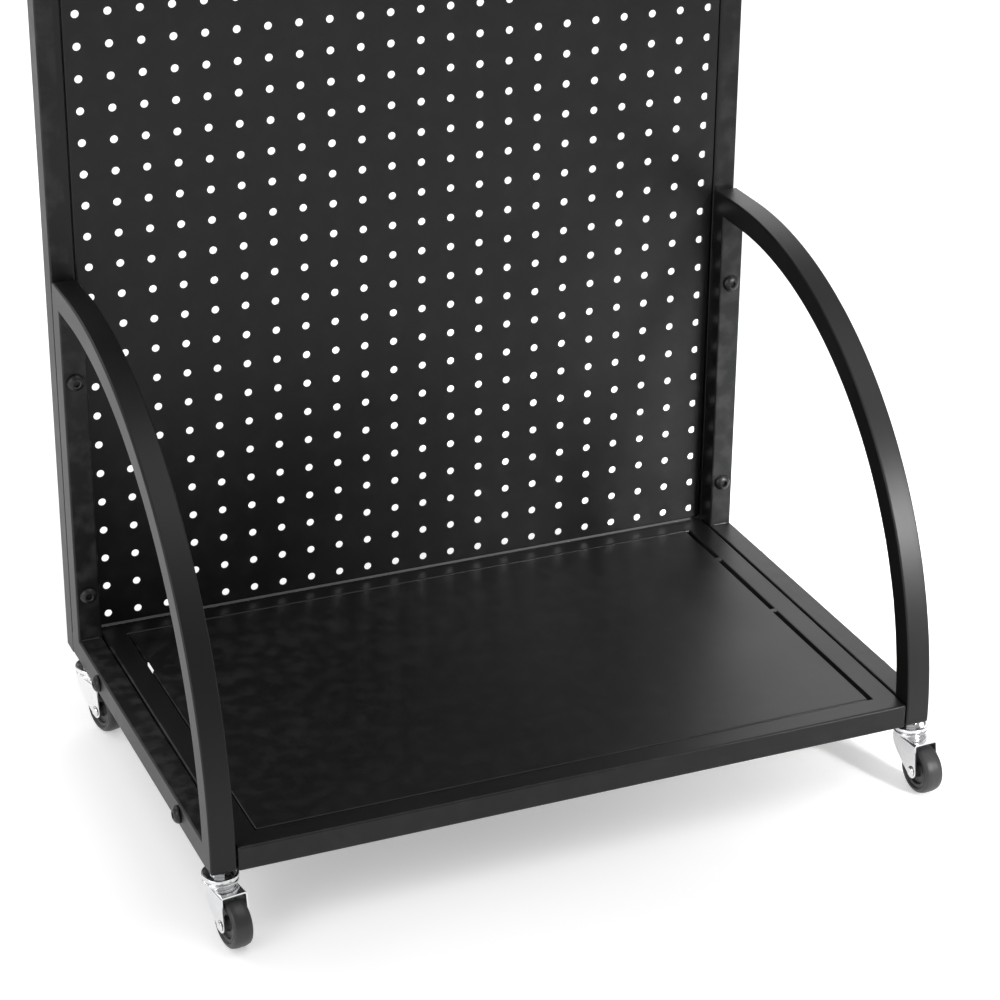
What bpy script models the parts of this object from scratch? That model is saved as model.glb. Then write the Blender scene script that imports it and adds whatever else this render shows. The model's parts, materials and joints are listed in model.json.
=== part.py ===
"""Mobile pegboard display stand.

A perforated steel back panel sits in a square-tube back frame. Two side frames, each an upright, a
bottom rail and a quarter-circle arch, bolt to the back frame and carry a low shelf between them.
Four small swivel casters screw into the side frames.

Units are metres. +X is to the right, -Y is the front, +Z is up. The floor is z = 0 and the origin
is the middle of the footprint, caster wheels included.
"""

import math

import bmesh
import bpy
from mathutils import Matrix, Vector

# Square tube and fits
TUBE = 0.020                # outside size of every square tube
WALL = 0.0012               # wall of every square tube
TUBE_RADIUS = 0.0018        # outside corner radius of a tube
TUBE_SEGMENTS = 2           # facets round a tube's corner
GAP = 0.0003                # space between pieces that touch
SEAM = 0.001                # open seam between the base frame and the side frames

# Overall sizes
WIDTH = 0.596               # outside to outside of the posts
DEPTH = 0.388               # back of the posts to the front of the arches
POST_BACK = 0.210           # y of the back of the posts
HEIGHT = 1.490              # floor to the top of the post caps
BASE_BOTTOM = 0.054         # floor to the underside of the tubes
BACK_RAIL_HEIGHT = 0.014    # the back frame's lower rail is a flatter tube
SIDE_FRAME_TOP = 0.383      # floor to the top of the arches
ARCH_STRAIGHT = 0.044       # straight run of an arch, from the posts to where it curves
DRAIN_X = 0.200             # drain holes under the shelf's front and back rails
DRAIN_RADIUS = 0.003

# Pegboard panel
PITCH = 0.0254              # hole spacing, both ways
HOLE_RADIUS = 0.0033        # to the corners of a hole
HOLE_FACETS = 8
HOLE_COLUMNS = 22
HOLE_ROWS = 55
FIRST_HOLE_ABOVE_BASE = 0.0104
COLUMN_STEP = 3             # these solids carry every third column
ROW_STEP = 9                # and every ninth row of the real hole field
PANEL_SEAM = 0.0006
PANEL_SHEET = 0.001
PANEL_FLANGE = 0.0095
PANEL_BEND = 0.0015

# Shelf
SLOT_RIGHT = 0.0034         # open slot along the sheet's right edge
SLOT = 0.0004               # seam along its other three edges
SHELF_SHEET = 0.001
SHELF_FLANGE = 0.015
SHELF_BEND = 0.0012
SHELF_REAR_SEAM = 0.001     # seam between the shelf's back rail and the panel
WELD_TAB = (0.005, 0.0018)  # length along the slot and depth of a weld tab
REAR_TAB = 0.060            # the rear weld tab, from the sheet's back edge
RELIEF = (0.018, 0.0016)    # length and depth of the relief in the sheet's left edge
RELIEF_Y = 0.1085

# Caps on the posts
CAP_FLANGE = 0.002
CAP_PLUG_DEPTH = 0.015

# M8 button-head bolts and their weld nuts
BOLT_HEAD_RADIUS = 0.007
BOLT_HEAD_HEIGHT = 0.0044
BOLT_SHANK_RADIUS = 0.0038
BOLT_LENGTH = 0.030
BOLT_HOLE_RADIUS = 0.0044
HEX_SOCKET = 0.005          # across flats
HEX_SOCKET_DEPTH = 0.0026
HEAD_CROWN = ((0.52, 1.0), (0.84, 0.72), (1.0, 0.22))   # parts of a head's radius and height
NUT_ACROSS_FLATS = 0.013
NUT_HEIGHT = 0.0065
NUT_BORE_RADIUS = 0.0043
CASTER_NUT_ACROSS_FLATS = 0.0145
CASTER_NUT_BORE_RADIUS = 0.0052
UPRIGHT_BOLTS_Z = (0.115, 0.303)
SIDE_BOLTS_Y = (-0.101, 0.114)

# Casters
WHEEL_RADIUS = 0.0195
WHEEL_WIDTH = 0.0155
TYRE_SHOULDER = ((0.0034, 0.0), (0.0008, 0.0030), (0.0, 0.0055))    # in from tread and side
CORE_RADIUS = 0.0130
WEB_RECESS = 0.0014         # side of the tyre to the wheel's web
HUB_RADIUS = 0.0050
HUB_ROOT_RADIUS = 0.0056
HUB_PROUD = 0.0006          # the hub stands out from the side of the tyre
WHEEL_PLAY = 0.0004
AXLE_RADIUS = 0.0025
AXLE_HEAD_RADIUS = 0.0042
AXLE_HEAD_HEIGHT = 0.0013
AXLE_HEAD_EDGE = 0.0005     # height of the straight edge of an axle's head
AXLE_HEAD_FLAT = 0.0029     # radius of its flat top
TRAIL = 0.020               # axle ahead of the swivel axis
FORK_WIDTH = 0.0215
FORK_SHEET = 0.0014
FORK_BEND = 0.0017          # radius of the folds over the fork's legs
FORK_TOP_DROP = 0.0105      # underside of the tubes to the top of the fork
FORK_BACK = 0.0078          # swivel axis to the back of the fork's legs
FORK_SHOULDER = 0.0065      # straight part of a leg's back edge, down from the top
FORK_BELLY = (-0.0068, 0.030)   # ahead of the swivel axis and above the floor
FORK_LOBE = 0.006           # radius of a fork leg's round end
FORK_TOP_FRONT = 0.0025     # axle to the front edge of the fork's top
RACE_RADIUS = 0.0141
RACE_CHAMFER = 0.0008
RACE_LIP = 0.0020           # width of the upper race's rim
RACE_SLOPE = 0.0014         # and of the slope from it down to the dish
LOWER_RACE_RADIUS = 0.0135
RACE_RIM = 0.0028           # underside of the tubes to the rim of the upper race
RACE_FLOOR = 0.0042         # and to the floor of its dish
RACE_BOTTOM = 0.0064        # and to its underside
RACE_GAP = 0.0006           # between the upper and the lower race
STEM_RADIUS = 0.0048
STEM_LENGTH = 0.014         # above the underside of the tube
NECK_RADIUS = 0.0067
STEM_HOLE_RADIUS = 0.0055
KING_PIN_RADIUS = 0.0045
KING_PIN_HEAD = (0.0062, 0.0013)    # radius and height of the pin's riveted head
KING_PIN_PLAY = 0.0004
CASTER_X = WIDTH / 2 - TUBE / 2
FRONT_CASTER_Y = POST_BACK - DEPTH + TUBE / 2
REAR_CASTER_Y = 0.170
SWIVEL_AT_REST = {          # degrees that each fork is turned from straight ahead
    "front_left": 8.0,
    "front_right": 4.0,
    "rear_left": 15.0,
    "rear_right": 10.0,
}

# Heights and planes that follow from the sizes above
BASE_TOP = BASE_BOTTOM + TUBE
PANEL_Y = POST_BACK - TUBE              # front face of the panel and the posts
FRONT_Y = POST_BACK - DEPTH             # front face of the arches and the front rail
POST_TOP = HEIGHT - CAP_FLANGE
INNER_X = WIDTH / 2 - TUBE              # inner face of the posts and side frames
POST_X = WIDTH / 2 - TUBE / 2
ARCH_OUTER = PANEL_Y - FRONT_Y - ARCH_STRAIGHT  # outside radius of an arch
ARCH_CENTRE = Vector((0.0, FRONT_Y + ARCH_OUTER, SIDE_FRAME_TOP - ARCH_OUTER))
ARCH_INNER = ARCH_OUTER - TUBE
ARCH_STEPS = 18
RISE = BASE_TOP - ARCH_CENTRE.z         # how far the arch has curved at the base's top
ARCH_LEAN = ARCH_INNER - math.sqrt(ARCH_INNER ** 2 - RISE ** 2)
BASE_X = INNER_X - SEAM                 # outer face of the shelf's side rails
BASE_REAR_Y = PANEL_Y - SHELF_REAR_SEAM

SIDES = (("left", -1), ("right", 1))


# Scene helpers

def clear_scene():
    for obj in list(bpy.data.objects):
        bpy.data.objects.remove(obj, do_unlink=True)


def new_collection(name):
    collection = bpy.data.collections.new(name)
    bpy.context.scene.collection.children.link(collection)
    return collection


def new_material(name, colour, roughness, metallic):
    material = bpy.data.materials.new(name)
    material.use_nodes = True
    shader = material.node_tree.nodes["Principled BSDF"]
    shader.inputs["Base Color"].default_value = (*colour, 1.0)
    shader.inputs["Roughness"].default_value = roughness
    shader.inputs["Metallic"].default_value = metallic
    return material


clear_scene()
PARTS = new_collection("mobile_pegboard_stand")
CUTTERS = new_collection("cutters")
BLACK_COAT = new_material("black_powder_coat", (0.022, 0.022, 0.024), 0.5, 0.0)
ZINC = new_material("bright_zinc", (0.78, 0.78, 0.80), 0.22, 1.0)
PLAIN_STEEL = new_material("plain_steel", (0.45, 0.45, 0.46), 0.4, 1.0)
BLACK_PLASTIC = new_material("black_plastic", (0.03, 0.03, 0.03), 0.45, 0.0)
TYRE_RUBBER = new_material("tyre_rubber", (0.05, 0.05, 0.055), 0.6, 0.0)


def add_object(name, bm, material, collection=None, smooth_angle=40.0):
    """Turns a bmesh into a named object, smooth except at edges sharper than smooth_angle."""
    bmesh.ops.recalc_face_normals(bm, faces=bm.faces)
    mesh = bpy.data.meshes.new(name)
    bm.to_mesh(mesh)
    bm.free()
    mesh.shade_smooth()
    mesh.set_sharp_from_angle(angle=math.radians(smooth_angle))
    obj = bpy.data.objects.new(name, mesh)
    obj.data.materials.append(material)
    (collection or PARTS).objects.link(obj)
    return obj


def add_cutter(name, bm):
    obj = add_object(name, bm, BLACK_COAT, CUTTERS)
    obj.hide_render = True
    obj.display_type = "WIRE"
    return obj


def boolean(obj, operand, operation="DIFFERENCE"):
    modifier = obj.modifiers.new(operand.name, "BOOLEAN")
    modifier.object = operand
    modifier.operation = operation
    modifier.solver = "EXACT"


def solidify_inwards(obj, thickness):
    modifier = obj.modifiers.new("wall", "SOLIDIFY")
    modifier.thickness = thickness
    modifier.offset = -1.0
    modifier.use_even_offset = True


# Shapes

def box(bm, low, high):
    """A box between two corners, added to bm."""
    low = Vector(low)
    high = Vector(high)
    matrix = Matrix.Translation((low + high) / 2) @ Matrix.Diagonal((*(high - low), 1.0))
    return bmesh.ops.create_cube(bm, size=1.0, matrix=matrix)["verts"]


def cylinder(bm, start, axis, length, radius, segments=12):
    """A capped cylinder from start along axis, added to bm."""
    axis = Vector(axis).normalized()
    centre = Vector(start) + axis * (length / 2)
    turn = axis.to_track_quat("Z", "Y").to_matrix().to_4x4()
    bmesh.ops.create_cone(
        bm,
        cap_ends=True,
        segments=segments,
        radius1=radius,
        radius2=radius,
        depth=length,
        matrix=Matrix.Translation(centre) @ turn,
    )


def bevel_edges(bm, edges, radius, segments=TUBE_SEGMENTS):
    bmesh.ops.bevel(
        bm, geom=list(edges), offset=radius, segments=segments, profile=0.5, affect="EDGES"
    )


def edges_along(bm, axis):
    """The edges of bm that run parallel to axis."""
    axis = Vector(axis)
    return [
        edge for edge in bm.edges
        if abs((edge.verts[1].co - edge.verts[0].co).normalized().dot(axis)) > 0.999
    ]


def delete_faces_facing(bm, directions):
    """Opens a solid on the sides that face any of the directions."""
    faces = [
        face for face in bm.faces
        if any(face.normal.dot(Vector(direction)) > 0.999 for direction in directions)
    ]
    bmesh.ops.delete(bm, geom=faces, context="FACES_ONLY")


def lathe(bm, profile, segments, matrix):
    """Turns a closed loop of (radius, height) points about Z, then places it with matrix."""
    rings = []
    for step in range(segments):
        angle = 2 * math.pi * step / segments
        ring = [
            bm.verts.new(matrix @ Vector((r * math.cos(angle), r * math.sin(angle), z)))
            for r, z in profile
        ]
        rings.append(ring)
    count = len(profile)
    for step in range(segments):
        here = rings[step]
        after = rings[(step + 1) % segments]
        for i in range(count):
            j = (i + 1) % count
            bm.faces.new((here[i], here[j], after[j], after[i]))


def spindle(bm, profile, segments, matrix):
    """Turns an open line of (radius, height) points that starts and ends on the axis."""
    start = bm.verts.new(matrix @ Vector((0.0, 0.0, profile[0][1])))
    end = bm.verts.new(matrix @ Vector((0.0, 0.0, profile[-1][1])))
    rings = []
    for step in range(segments):
        angle = 2 * math.pi * step / segments
        ring = [
            bm.verts.new(matrix @ Vector((r * math.cos(angle), r * math.sin(angle), z)))
            for r, z in profile[1:-1]
        ]
        rings.append(ring)
    for step in range(segments):
        here = rings[step]
        after = rings[(step + 1) % segments]
        bm.faces.new((start, here[0], after[0]))
        bm.faces.new((end, after[-1], here[-1]))
        for i in range(len(here) - 1):
            bm.faces.new((here[i], here[i + 1], after[i + 1], after[i]))


def pointing(position, direction):
    """The matrix that puts a shape's +Z along direction, at position."""
    turn = Vector(direction).to_track_quat("Z", "Y").to_matrix().to_4x4()
    return Matrix.Translation(Vector(position)) @ turn


# Tubes

def open_tube(name, low, high, axis):
    """A straight square tube with open ends, running along axis between two corners."""
    bm = bmesh.new()
    box(bm, low, high)
    bevel_edges(bm, edges_along(bm, axis), TUBE_RADIUS)
    axis = Vector(axis)
    delete_faces_facing(bm, (axis, -axis))
    tube = add_object(name, bm, BLACK_COAT)
    solidify_inwards(tube, WALL)
    return tube


def closed_tube(name, low, high):
    """A straight square tube with closed, rounded ends."""
    bm = bmesh.new()
    box(bm, low, high)
    bevel_edges(bm, bm.edges, TUBE_RADIUS)
    tube = add_object(name, bm, BLACK_COAT)
    solidify_inwards(tube, WALL)
    return tube


def drill(target, holes):
    """Cuts round holes, each given as (start, axis, length, radius), through a piece."""
    bm = bmesh.new()
    for start, axis, length, radius in holes:
        cylinder(bm, start, axis, length, radius)
    boolean(target, add_cutter(f"holes_in_{target.name}", bm))


# Back frame

def back_posts():
    for side, sign in SIDES:
        x = sign * POST_X
        post = open_tube(
            f"back_post_{side}",
            (x - TUBE / 2, PANEL_Y, BASE_BOTTOM),
            (x + TUBE / 2, POST_BACK, POST_TOP),
            (0, 0, 1),
        )
        drill(post, [
            ((x, PANEL_Y - WALL, z), (0, 1, 0), 3 * WALL, BOLT_HOLE_RADIUS)
            for z in UPRIGHT_BOLTS_Z
        ])


def back_rails():
    reach = INNER_X - GAP
    rails = (
        ("back_bottom_rail", BASE_BOTTOM, BASE_BOTTOM + BACK_RAIL_HEIGHT),
        ("back_top_rail", POST_TOP - TUBE, POST_TOP),
    )
    for name, bottom, top in rails:
        open_tube(name, (-reach, PANEL_Y, bottom), (reach, POST_BACK, top), (1, 0, 0))


def post_caps():
    """Push-in caps: a flange on the tube's end and a plug inside it."""
    inside = TUBE / 2 - WALL - 2 * GAP
    for side, sign in SIDES:
        x = sign * POST_X
        y = PANEL_Y + TUBE / 2
        bm = bmesh.new()
        box(
            bm,
            (x - TUBE / 2, y - TUBE / 2, POST_TOP + GAP),
            (x + TUBE / 2, y + TUBE / 2, HEIGHT),
        )
        bevel_edges(bm, edges_along(bm, (0, 0, 1)), TUBE_RADIUS)
        cap = add_object(f"post_cap_{side}", bm, BLACK_PLASTIC)
        plug = bmesh.new()
        box(
            plug,
            (x - inside, y - inside, POST_TOP - CAP_PLUG_DEPTH),
            (x + inside, y + inside, POST_TOP + CAP_FLANGE / 2),
        )
        bevel_edges(plug, edges_along(plug, (0, 0, 1)), TUBE_RADIUS / 2, 1)
        boolean(cap, add_cutter(f"plug_of_post_cap_{side}", plug), "UNION")


def hole_positions():
    """(x, z) of the peg holes that these solids carry."""
    first_x = -PITCH * (HOLE_COLUMNS - 1) / 2
    first_z = BASE_TOP + FIRST_HOLE_ABOVE_BASE
    for column in range(0, HOLE_COLUMNS, COLUMN_STEP):
        for row in range(0, HOLE_ROWS, ROW_STEP):
            yield first_x + PITCH * column, first_z + PITCH * row


def pegboard_panel():
    """Sheet flush with the front of the posts, with flanges folded back on all four edges."""
    half = INNER_X - PANEL_SEAM
    bm = bmesh.new()
    box(
        bm,
        (-half, PANEL_Y, BASE_TOP + GAP),
        (half, PANEL_Y + PANEL_FLANGE, POST_TOP - TUBE - PANEL_SEAM),
    )
    front = [e for e in bm.edges if all(v.co.y < PANEL_Y + GAP for v in e.verts)]
    bevel_edges(bm, front + edges_along(bm, (0, 1, 0)), PANEL_BEND)
    delete_faces_facing(bm, ((0, 1, 0),))
    panel = add_object("pegboard_panel", bm, BLACK_COAT)
    solidify_inwards(panel, PANEL_SHEET)
    holes = bmesh.new()
    for x, z in hole_positions():
        cylinder(
            holes, (x, PANEL_Y - PANEL_SHEET, z), (0, 1, 0), 3 * PANEL_SHEET, HOLE_RADIUS,
            HOLE_FACETS,
        )
    boolean(panel, add_cutter("peg_holes", holes))


# Side frames

def uprights():
    front = PANEL_Y - TUBE
    for side, sign in SIDES:
        x = sign * POST_X
        upright = open_tube(
            f"side_upright_{side}",
            (x - TUBE / 2, front, BASE_TOP + GAP),
            (x + TUBE / 2, PANEL_Y - GAP, SIDE_FRAME_TOP - TUBE - GAP),
            (0, 0, 1),
        )
        drill(upright, [
            ((x, front - WALL, z), (0, 1, 0), TUBE + 2 * WALL, BOLT_HOLE_RADIUS)
            for z in UPRIGHT_BOLTS_Z
        ])


def bottom_rails():
    for side, sign in SIDES:
        x = sign * POST_X
        rail = open_tube(
            f"side_bottom_rail_{side}",
            (x - TUBE / 2, FRONT_Y + TUBE + ARCH_LEAN + GAP, BASE_BOTTOM),
            (x + TUBE / 2, PANEL_Y - GAP, BASE_TOP),
            (0, 1, 0),
        )
        holes = [
            ((x - TUBE, y, BASE_BOTTOM + TUBE / 2), (1, 0, 0), 2 * TUBE, BOLT_HOLE_RADIUS)
            for y in SIDE_BOLTS_Y
        ]
        holes.append(((x, REAR_CASTER_Y, BASE_BOTTOM - WALL), (0, 0, 1), 3 * WALL, STEM_HOLE_RADIUS))
        drill(rail, holes)


def arches():
    """A foot block swept a quarter turn about the arch's centre, then straight to the back."""
    for side, sign in SIDES:
        x = sign * POST_X
        bm = bmesh.new()
        box(
            bm,
            (x - TUBE / 2, FRONT_Y, BASE_BOTTOM),
            (x + TUBE / 2, FRONT_Y + TUBE, ARCH_CENTRE.z),
        )
        bm.faces.ensure_lookup_table()
        top = [face for face in bm.faces if face.normal.z > 0.999]
        swept = bmesh.ops.spin(
            bm,
            geom=top,
            cent=ARCH_CENTRE,
            axis=(-1, 0, 0),
            angle=math.pi / 2,
            steps=ARCH_STEPS,
        )
        end = [f for f in swept["geom_last"] if isinstance(f, bmesh.types.BMFace)]
        straight = bmesh.ops.extrude_face_region(bm, geom=end)
        moved = [v for v in straight["geom"] if isinstance(v, bmesh.types.BMVert)]
        shift = PANEL_Y - GAP - ARCH_CENTRE.y
        bmesh.ops.translate(bm, verts=moved, vec=(0, shift, 0))
        remove_inner_faces(bm)
        bmesh.ops.recalc_face_normals(bm, faces=bm.faces)
        corners = [e for e in bm.edges if len(e.link_faces) == 2 and e.calc_face_angle() > 1.0]
        bevel_edges(bm, corners, TUBE_RADIUS)
        arch = add_object(f"side_arch_{side}", bm, BLACK_COAT)
        solidify_inwards(arch, WALL)
        drill(arch, [
            ((x, FRONT_CASTER_Y, BASE_BOTTOM - WALL), (0, 0, 1), 3 * WALL, STEM_HOLE_RADIUS)
        ])


def remove_inner_faces(bm):
    """Deletes faces left across a swept solid, whose edges all have three or more faces."""
    inner = [f for f in bm.faces if all(len(e.link_faces) > 2 for e in f.edges)]
    bmesh.ops.delete(bm, geom=inner, context="FACES_ONLY")


# Shelf

def shelf_rails():
    rails = (
        ("shelf_front_rail", FRONT_Y),
        ("shelf_rear_rail", BASE_REAR_Y - TUBE),
    )
    for name, front in rails:
        rail = closed_tube(
            name, (-BASE_X, front, BASE_BOTTOM), (BASE_X, front + TUBE, BASE_TOP)
        )
        drill(rail, [
            ((sign * DRAIN_X, front + TUBE / 2, BASE_BOTTOM - WALL), (0, 0, 1), 3 * WALL,
             DRAIN_RADIUS)
            for _, sign in SIDES
        ])
    for side, sign in SIDES:
        x = sign * (BASE_X - TUBE / 2)
        rail = open_tube(
            f"shelf_{side}_rail",
            (x - TUBE / 2, FRONT_Y + TUBE + GAP, BASE_BOTTOM),
            (x + TUBE / 2, BASE_REAR_Y - TUBE - GAP, BASE_TOP),
            (0, 1, 0),
        )
        outer = sign * BASE_X
        drill(rail, [
            ((outer + sign * WALL, y, BASE_BOTTOM + TUBE / 2), (-sign, 0, 0), 3 * WALL,
             BOLT_HOLE_RADIUS)
            for y in SIDE_BOLTS_Y
        ])


def shelf_sheet():
    """Sheet set in flush between the rails, against the left one, with flanges folded down."""
    left = -BASE_X + TUBE + SLOT
    right = BASE_X - TUBE - SLOT_RIGHT
    front = FRONT_Y + TUBE + SLOT
    back = BASE_REAR_Y - TUBE - SLOT
    bm = bmesh.new()
    box(bm, (left, front, BASE_TOP - SHELF_FLANGE), (right, back, BASE_TOP))
    top = [e for e in bm.edges if all(v.co.z > BASE_TOP - GAP for v in e.verts)]
    bevel_edges(bm, top + edges_along(bm, (0, 0, 1)), SHELF_BEND)
    delete_faces_facing(bm, ((0, 0, -1),))
    sheet = add_object("shelf_sheet", bm, BLACK_COAT)
    solidify_inwards(sheet, SHELF_SHEET)
    boolean(sheet, weld_tabs(right, ((front + back) / 2, back - REAR_TAB)), "UNION")
    boolean(sheet, shelf_relief(left))


def weld_tabs(edge, places):
    """Small tabs that reach across the right slot at each y, just short of the rail."""
    length, depth = WELD_TAB
    top = BASE_TOP - SHELF_BEND
    tabs = bmesh.new()
    for y in places:
        box(
            tabs,
            (edge - SHELF_SHEET / 2, y - length / 2, top - depth),
            (edge + SLOT_RIGHT - GAP, y + length / 2, top),
        )
    return add_cutter("tabs_of_shelf_sheet", tabs)


def shelf_relief(edge):
    """A cut in the sheet's left edge, right through its flange."""
    length, depth = RELIEF
    relief = bmesh.new()
    box(
        relief,
        (edge - depth, RELIEF_Y - length / 2, BASE_TOP - SHELF_FLANGE - GAP),
        (edge + depth, RELIEF_Y + length / 2, BASE_TOP + GAP),
    )
    return add_cutter("relief_in_shelf_sheet", relief)


# Fasteners

def button_head_bolt(name, seat, direction):
    """A button-head socket bolt with its head's underside at seat, pointing along direction."""
    crown = [(BOLT_HEAD_RADIUS * r, -BOLT_HEAD_HEIGHT * h) for r, h in HEAD_CROWN]
    profile = [
        (0.0, -BOLT_HEAD_HEIGHT),
        *crown,
        (BOLT_HEAD_RADIUS, 0.0),
        (BOLT_SHANK_RADIUS, 0.0),
        (BOLT_SHANK_RADIUS, BOLT_LENGTH),
        (0.0, BOLT_LENGTH),
    ]
    start = Vector(seat) - Vector(direction) * GAP
    bm = bmesh.new()
    spindle(bm, profile, 16, pointing(start, direction))
    bolt = add_object(name, bm, BLACK_COAT)
    socket = bmesh.new()
    top = start - Vector(direction) * (BOLT_HEAD_HEIGHT + GAP)
    corner = HEX_SOCKET / 2 / math.cos(math.pi / 6)
    cylinder(socket, top, direction, HEX_SOCKET_DEPTH + GAP, corner, 6)
    boolean(bolt, add_cutter(f"socket_of_{name}", socket))


def weld_nut(name, face, direction, across_flats, height, bore):
    """A hexagon nut whose near face is at face, with its bore along direction."""
    bm = bmesh.new()
    corner = across_flats / 2 / math.cos(math.pi / 6)
    cylinder(bm, face, direction, height, corner, 6)
    nut = add_object(name, bm, PLAIN_STEEL)
    hole = bmesh.new()
    start = Vector(face) - Vector(direction) * GAP
    cylinder(hole, start, direction, height + 2 * GAP, bore)
    boolean(nut, add_cutter(f"bore_of_{name}", hole))


def frame_bolts():
    for side, sign in SIDES:
        x = sign * POST_X
        for level, z in zip(("lower", "upper"), UPRIGHT_BOLTS_Z):
            button_head_bolt(f"upright_bolt_{side}_{level}", (x, PANEL_Y - TUBE, z), (0, 1, 0))
            weld_nut(
                f"post_nut_{side}_{level}",
                (x, PANEL_Y + WALL + GAP, z),
                (0, 1, 0),
                NUT_ACROSS_FLATS,
                NUT_HEIGHT,
                NUT_BORE_RADIUS,
            )
        middle_z = BASE_BOTTOM + TUBE / 2
        for place, y in zip(("front", "rear"), SIDE_BOLTS_Y):
            inwards = (-sign, 0, 0)
            seat = (sign * WIDTH / 2, y, middle_z)
            button_head_bolt(f"shelf_bolt_{side}_{place}", seat, inwards)
            weld_nut(
                f"shelf_nut_{side}_{place}",
                (sign * (BASE_X - WALL - GAP), y, middle_z),
                inwards,
                NUT_ACROSS_FLATS,
                NUT_HEIGHT,
                NUT_BORE_RADIUS,
            )


# Casters

def caster_places():
    """(name, swivel axis on the floor, resting angle) of each caster."""
    for end, y in (("front", FRONT_CASTER_Y), ("rear", REAR_CASTER_Y)):
        for side, sign in SIDES:
            name = f"{end}_{side}"
            yield name, Vector((sign * CASTER_X, y, 0.0)), math.radians(SWIVEL_AT_REST[name])


def caster_stem(name, foot):
    """Threaded stem, neck, dished upper race and riveted king pin, turned as one piece."""
    tube_z = BASE_BOTTOM
    rim_z = tube_z - RACE_RIM
    floor_z = tube_z - RACE_FLOOR
    bottom_z = tube_z - RACE_BOTTOM
    head_radius, head_height = KING_PIN_HEAD
    head_z = tube_z - FORK_TOP_DROP - FORK_SHEET - GAP
    chamfer = STEM_RADIUS / 6
    profile = [
        (0.0, head_z - head_height),
        (head_radius, head_z - head_height),
        (head_radius, head_z),
        (KING_PIN_RADIUS, head_z),
        (KING_PIN_RADIUS, bottom_z),
        (RACE_RADIUS - RACE_CHAMFER, bottom_z),
        (RACE_RADIUS, bottom_z + RACE_CHAMFER),
        (RACE_RADIUS, rim_z - RACE_CHAMFER),
        (RACE_RADIUS - RACE_CHAMFER, rim_z),
        (RACE_RADIUS - RACE_LIP, rim_z),
        (RACE_RADIUS - RACE_LIP - RACE_SLOPE, floor_z),
        (NECK_RADIUS, floor_z),
        (NECK_RADIUS, tube_z - GAP),
        (STEM_RADIUS, tube_z - GAP),
        (STEM_RADIUS, tube_z + STEM_LENGTH - chamfer),
        (STEM_RADIUS - chamfer, tube_z + STEM_LENGTH),
        (0.0, tube_z + STEM_LENGTH),
    ]
    bm = bmesh.new()
    spindle(bm, profile, 16, Matrix.Translation(foot))
    add_object(f"caster_stem_{name}", bm, ZINC)


def caster_nut(name, foot):
    weld_nut(
        f"caster_nut_{name}",
        foot + Vector((0, 0, BASE_BOTTOM + WALL + GAP)),
        (0, 0, 1),
        CASTER_NUT_ACROSS_FLATS,
        NUT_HEIGHT,
        CASTER_NUT_BORE_RADIUS,
    )


def fork_outline():
    """Side view of the fork as (ahead, up) points, the axle at (TRAIL, WHEEL_RADIUS)."""
    top = BASE_BOTTOM - FORK_TOP_DROP
    corner = Vector((-FORK_BACK, top - FORK_SHOULDER))
    lobe_start, lobe_end = math.radians(215), math.radians(360)
    lobe_steps = 6
    lobe = []
    for step in range(lobe_steps + 1):
        angle = lobe_start + (lobe_end - lobe_start) * step / lobe_steps
        lobe.append((
            TRAIL + FORK_LOBE * math.cos(angle),
            WHEEL_RADIUS + FORK_LOBE * math.sin(angle),
        ))
    belly = Vector(FORK_BELLY)
    curve_steps = 5
    curve = []
    for step in range(1, curve_steps):
        t = step / curve_steps
        point = corner * (1 - t) ** 2 + belly * 2 * t * (1 - t) + Vector(lobe[0]) * t ** 2
        curve.append(tuple(point))
    return [(-FORK_BACK, top), tuple(corner), *curve, *lobe, (TRAIL + FORK_TOP_FRONT, top)]


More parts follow.
